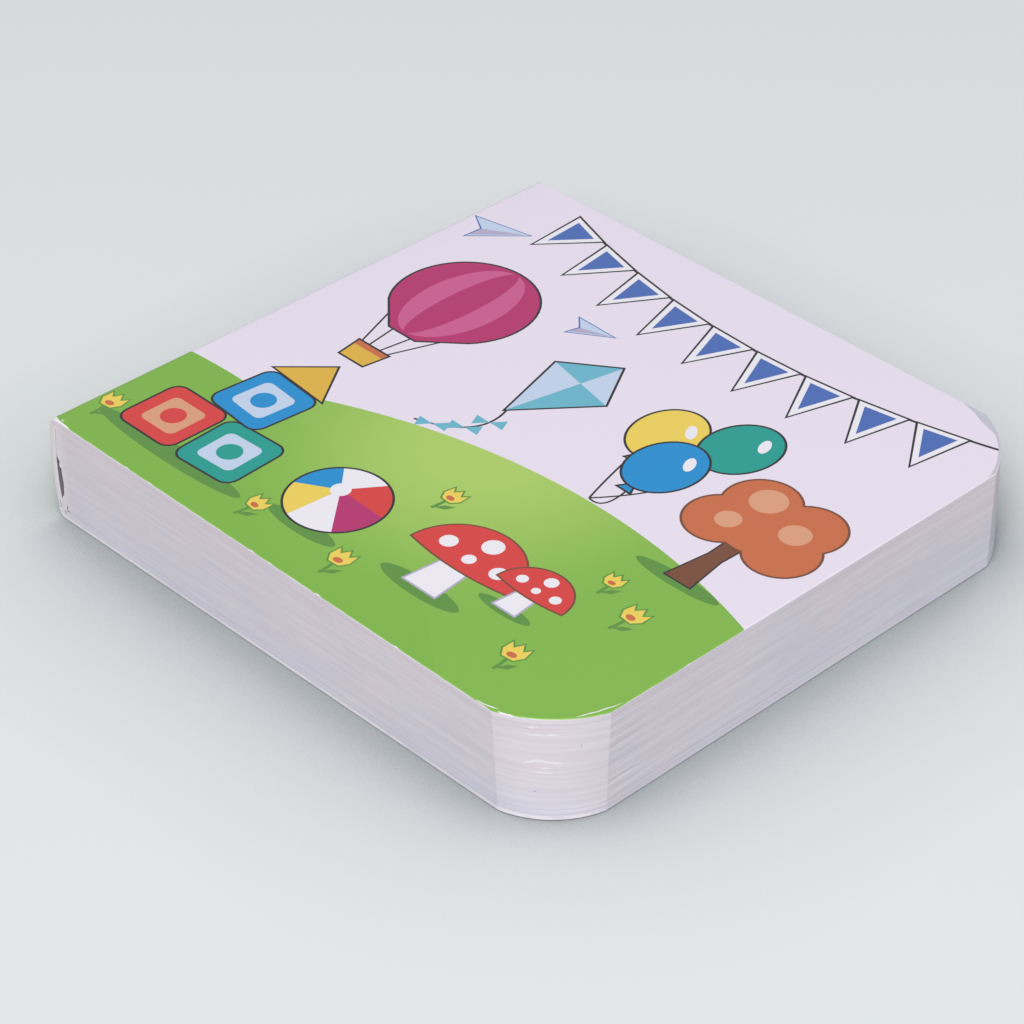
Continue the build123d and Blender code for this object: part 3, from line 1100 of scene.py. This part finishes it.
# Tiny dents by the tail corner, drawn as lavender specks: painted shade
DENT_SHADES = (
    ((0.344, 4.25, 0.06), (0.355, 4.27, 0.2), (0.366, 4.25, 0.06)),
    ((0.748, 10.8, 0.2), (0.75, 10.8, 0.5), (0.752, 10.8, 0.3)),
)

# The marks are thin skins: how proud of the surface they are, and how thick
end_mark_lift, end_mark_depth = 0.006, 0.005
corner_mark_lift, corner_mark_depth = 0.02, 0.015


def folded_backs():
    """The round backs of the folded sheets, and the glue that leaves the hollow open."""
    bow = bow_arc(card_inner_x + crevice, 24)
    section = [point for point in bow if point[1] >= hollow_top]
    section += [(fold_x + x, z) for x, z in SLIT]
    section += [point for point in bow if point[1] <= hollow_bottom]
    section += [(leaf_start + 0.02, z) for z in (spine_low.z, spine_high.z)]
    backs = prism("folded_backs", section, cut_board)
    backs.data.materials.append(hollow_shade_card)
    glue_end = block_x + glue_valley + 0.1
    # Faces inside the hollow take the darker card: painted shade
    for polygon in backs.data.polygons:
        middle = polygon.center / MM
        in_hollow = hollow_bottom < middle.z < hollow_top and middle.x < glue_end
        if in_hollow and abs(polygon.normal.y) < 0.5:
            polygon.material_index = 1
    return backs


def end_mark(name, outline, material):
    """A thin flat mark on the spine's tail end."""
    points = [(fold_x + x, tail_y - end_mark_lift, z) for x, z in anticlockwise(outline)]
    piece = new_piece(name, points, material)
    thicken(piece, end_mark_depth)
    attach(piece, "page_block")


def on_corner(share, z, proud):
    """Place on the tail corner's cut: a share of the way round, a height, and how proud it is."""
    ends = []
    for radius, crease in (bottom_corners[0], top_corners[0]):
        turn = math.radians(crease - 90 + (90 - 2 * crease) * share)
        reach = arc_reach(radius, crease)
        x = fore_x - reach + (radius + proud) * math.cos(turn)
        ends.append(Vector((x, tail_y + reach + (radius + proud) * math.sin(turn))))
    x, y = ends[0].lerp(ends[1], z / fore_thickness)
    return x, y, z


def corner_marks(name, lines, material, body):
    """Thin marks that follow the tail corner's curved cut."""
    points, faces = [], []
    for line in lines:
        first = len(points)
        for share, z, width in line:
            points += [on_corner(share, z + side * width / 2, corner_mark_lift) for side in (-1, 1)]
        faces += [(i, i + 2, i + 3, i + 1) for i in range(first, len(points) - 3, 2)]
    piece = new_piece(name, points, material, faces)
    thicken(piece, corner_mark_depth)
    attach(piece, body)


def front_notch_glue():
    """Glue squeezed up between the front cover's card and the sheet inside it."""
    section = [inside_front(card_inner_x, 0.0), inside_front(block_x, 0.0)]
    section += [inside_front(block_x, -page_sheet), inside_front(card_inner_x, -page_sheet)]
    glue = prism("fold_glue", section, cut_board, 0.03)
    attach(glue, "front_cover")


bottom_rim, middle_rim, top_rim = rim_outline(0), rim_outline(0.5), rim_outline(1)
blank = leaf_blank(middle_rim)
rim_facts = outline_facts(middle_rim)
rim_finder = outline_finder(middle_rim)
leaves = [place_leaf(blank, rim_finder, rim_facts, leaf) for leaf in range(leaf_count)]
bpy.data.objects.remove(blank)
front_notch_glue()
end_mark("hooked_crack", tapered(HOOK), hollow_shade_card)
end_mark("scuffed_crack", tapered(SCUFF), hollow_shade_card)
for number, crumb in enumerate(CRUMBS, 1):
    end_mark(f"torn_card_{number}", crumb, inks["bare"])
# Painted highlights, in the bare white card
corner_marks("painted_corner_highlights", CORNER_HIGHLIGHTS, inks["bare"], "page_block")
corner_marks("painted_cover_highlight", (COVER_HIGHLIGHT,), inks["bare"], "front_cover")
corner_marks("painted_dent_shades", DENT_SHADES, inks["lavender"], "page_block")
backs = folded_backs()
only(backs)
for leaf in leaves:
    leaf.select_set(True)
bpy.ops.object.join()
page_block = bpy.context.object
page_block.name = "folded_leaves"
bpy.ops.object.shade_smooth_by_angle(angle=math.radians(35))
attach(page_block, "page_block")
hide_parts("page_block")

# Lamp, floor and world: here sizes are in metres
LAMP_PLACE = Vector((0.87, -0.95, 1.30))
SHADE_REACH = 0.035  # how far from the book the floor grows darker

bpy.ops.object.light_add(type="AREA", location=LAMP_PLACE)
lamp = bpy.context.object
lamp.name = "key_lamp"
lamp.data.size = 0.9
lamp.data.energy = 23.6  # watts
lamp.rotation_euler = (-LAMP_PLACE).to_track_quat("-Z", "Y").to_euler()

bpy.ops.mesh.primitive_plane_add(size=6.0, location=(0, 0, 0))
floor = bpy.context.object
floor.name = "floor"
floor_material = new_material("pale_floor", 0.9)
nodes = floor_material.node_tree
# What the camera sees, also in a gloss or through glass, is pale: the light it throws back is not
rays = add_node(nodes, "LightPath")
inputs = {0: rays["Is Camera Ray"], 1: rays["Is Glossy Ray"]}
seen = add_node(nodes, "Math", inputs, operation="MAXIMUM")["Value"]
inputs = {0: seen, 1: rays["Is Transmission Ray"]}
seen = add_node(nodes, "Math", inputs, operation="MAXIMUM")["Value"]
# Painted shadow: the floor's pale colour darkens by ambient occlusion near the book
shade = add_node(nodes, "AmbientOcclusion", {"Distance": SHADE_REACH}, samples=4)["AO"]
open_floor = add_node(nodes, "MapRange", {0: shade, 1: 0.35, 2: 0.95}, **SMOOTH)["Result"]
tone = add_node(nodes, "Mix", {0: open_floor, 6: "#757C80", 7: "#E4E7E8"}, data_type="RGBA")[2]
tone = add_node(nodes, "Mix", {0: seen, 6: "#999CA0", 7: tone}, data_type="RGBA")[2]
plug(floor_material, "Base Color", tone)
floor.data.materials.append(floor_material)

world = bpy.data.worlds.new("studio")
bpy.context.scene.world = world
world.use_nodes = True
sky_light = world.node_tree.nodes["Background"]
sky_light.inputs["Color"].default_value = linear("#F4F6F8")
sky_light.inputs["Strength"].default_value = 0.525
bpy.context.scene.view_settings.view_transform = "Standard"
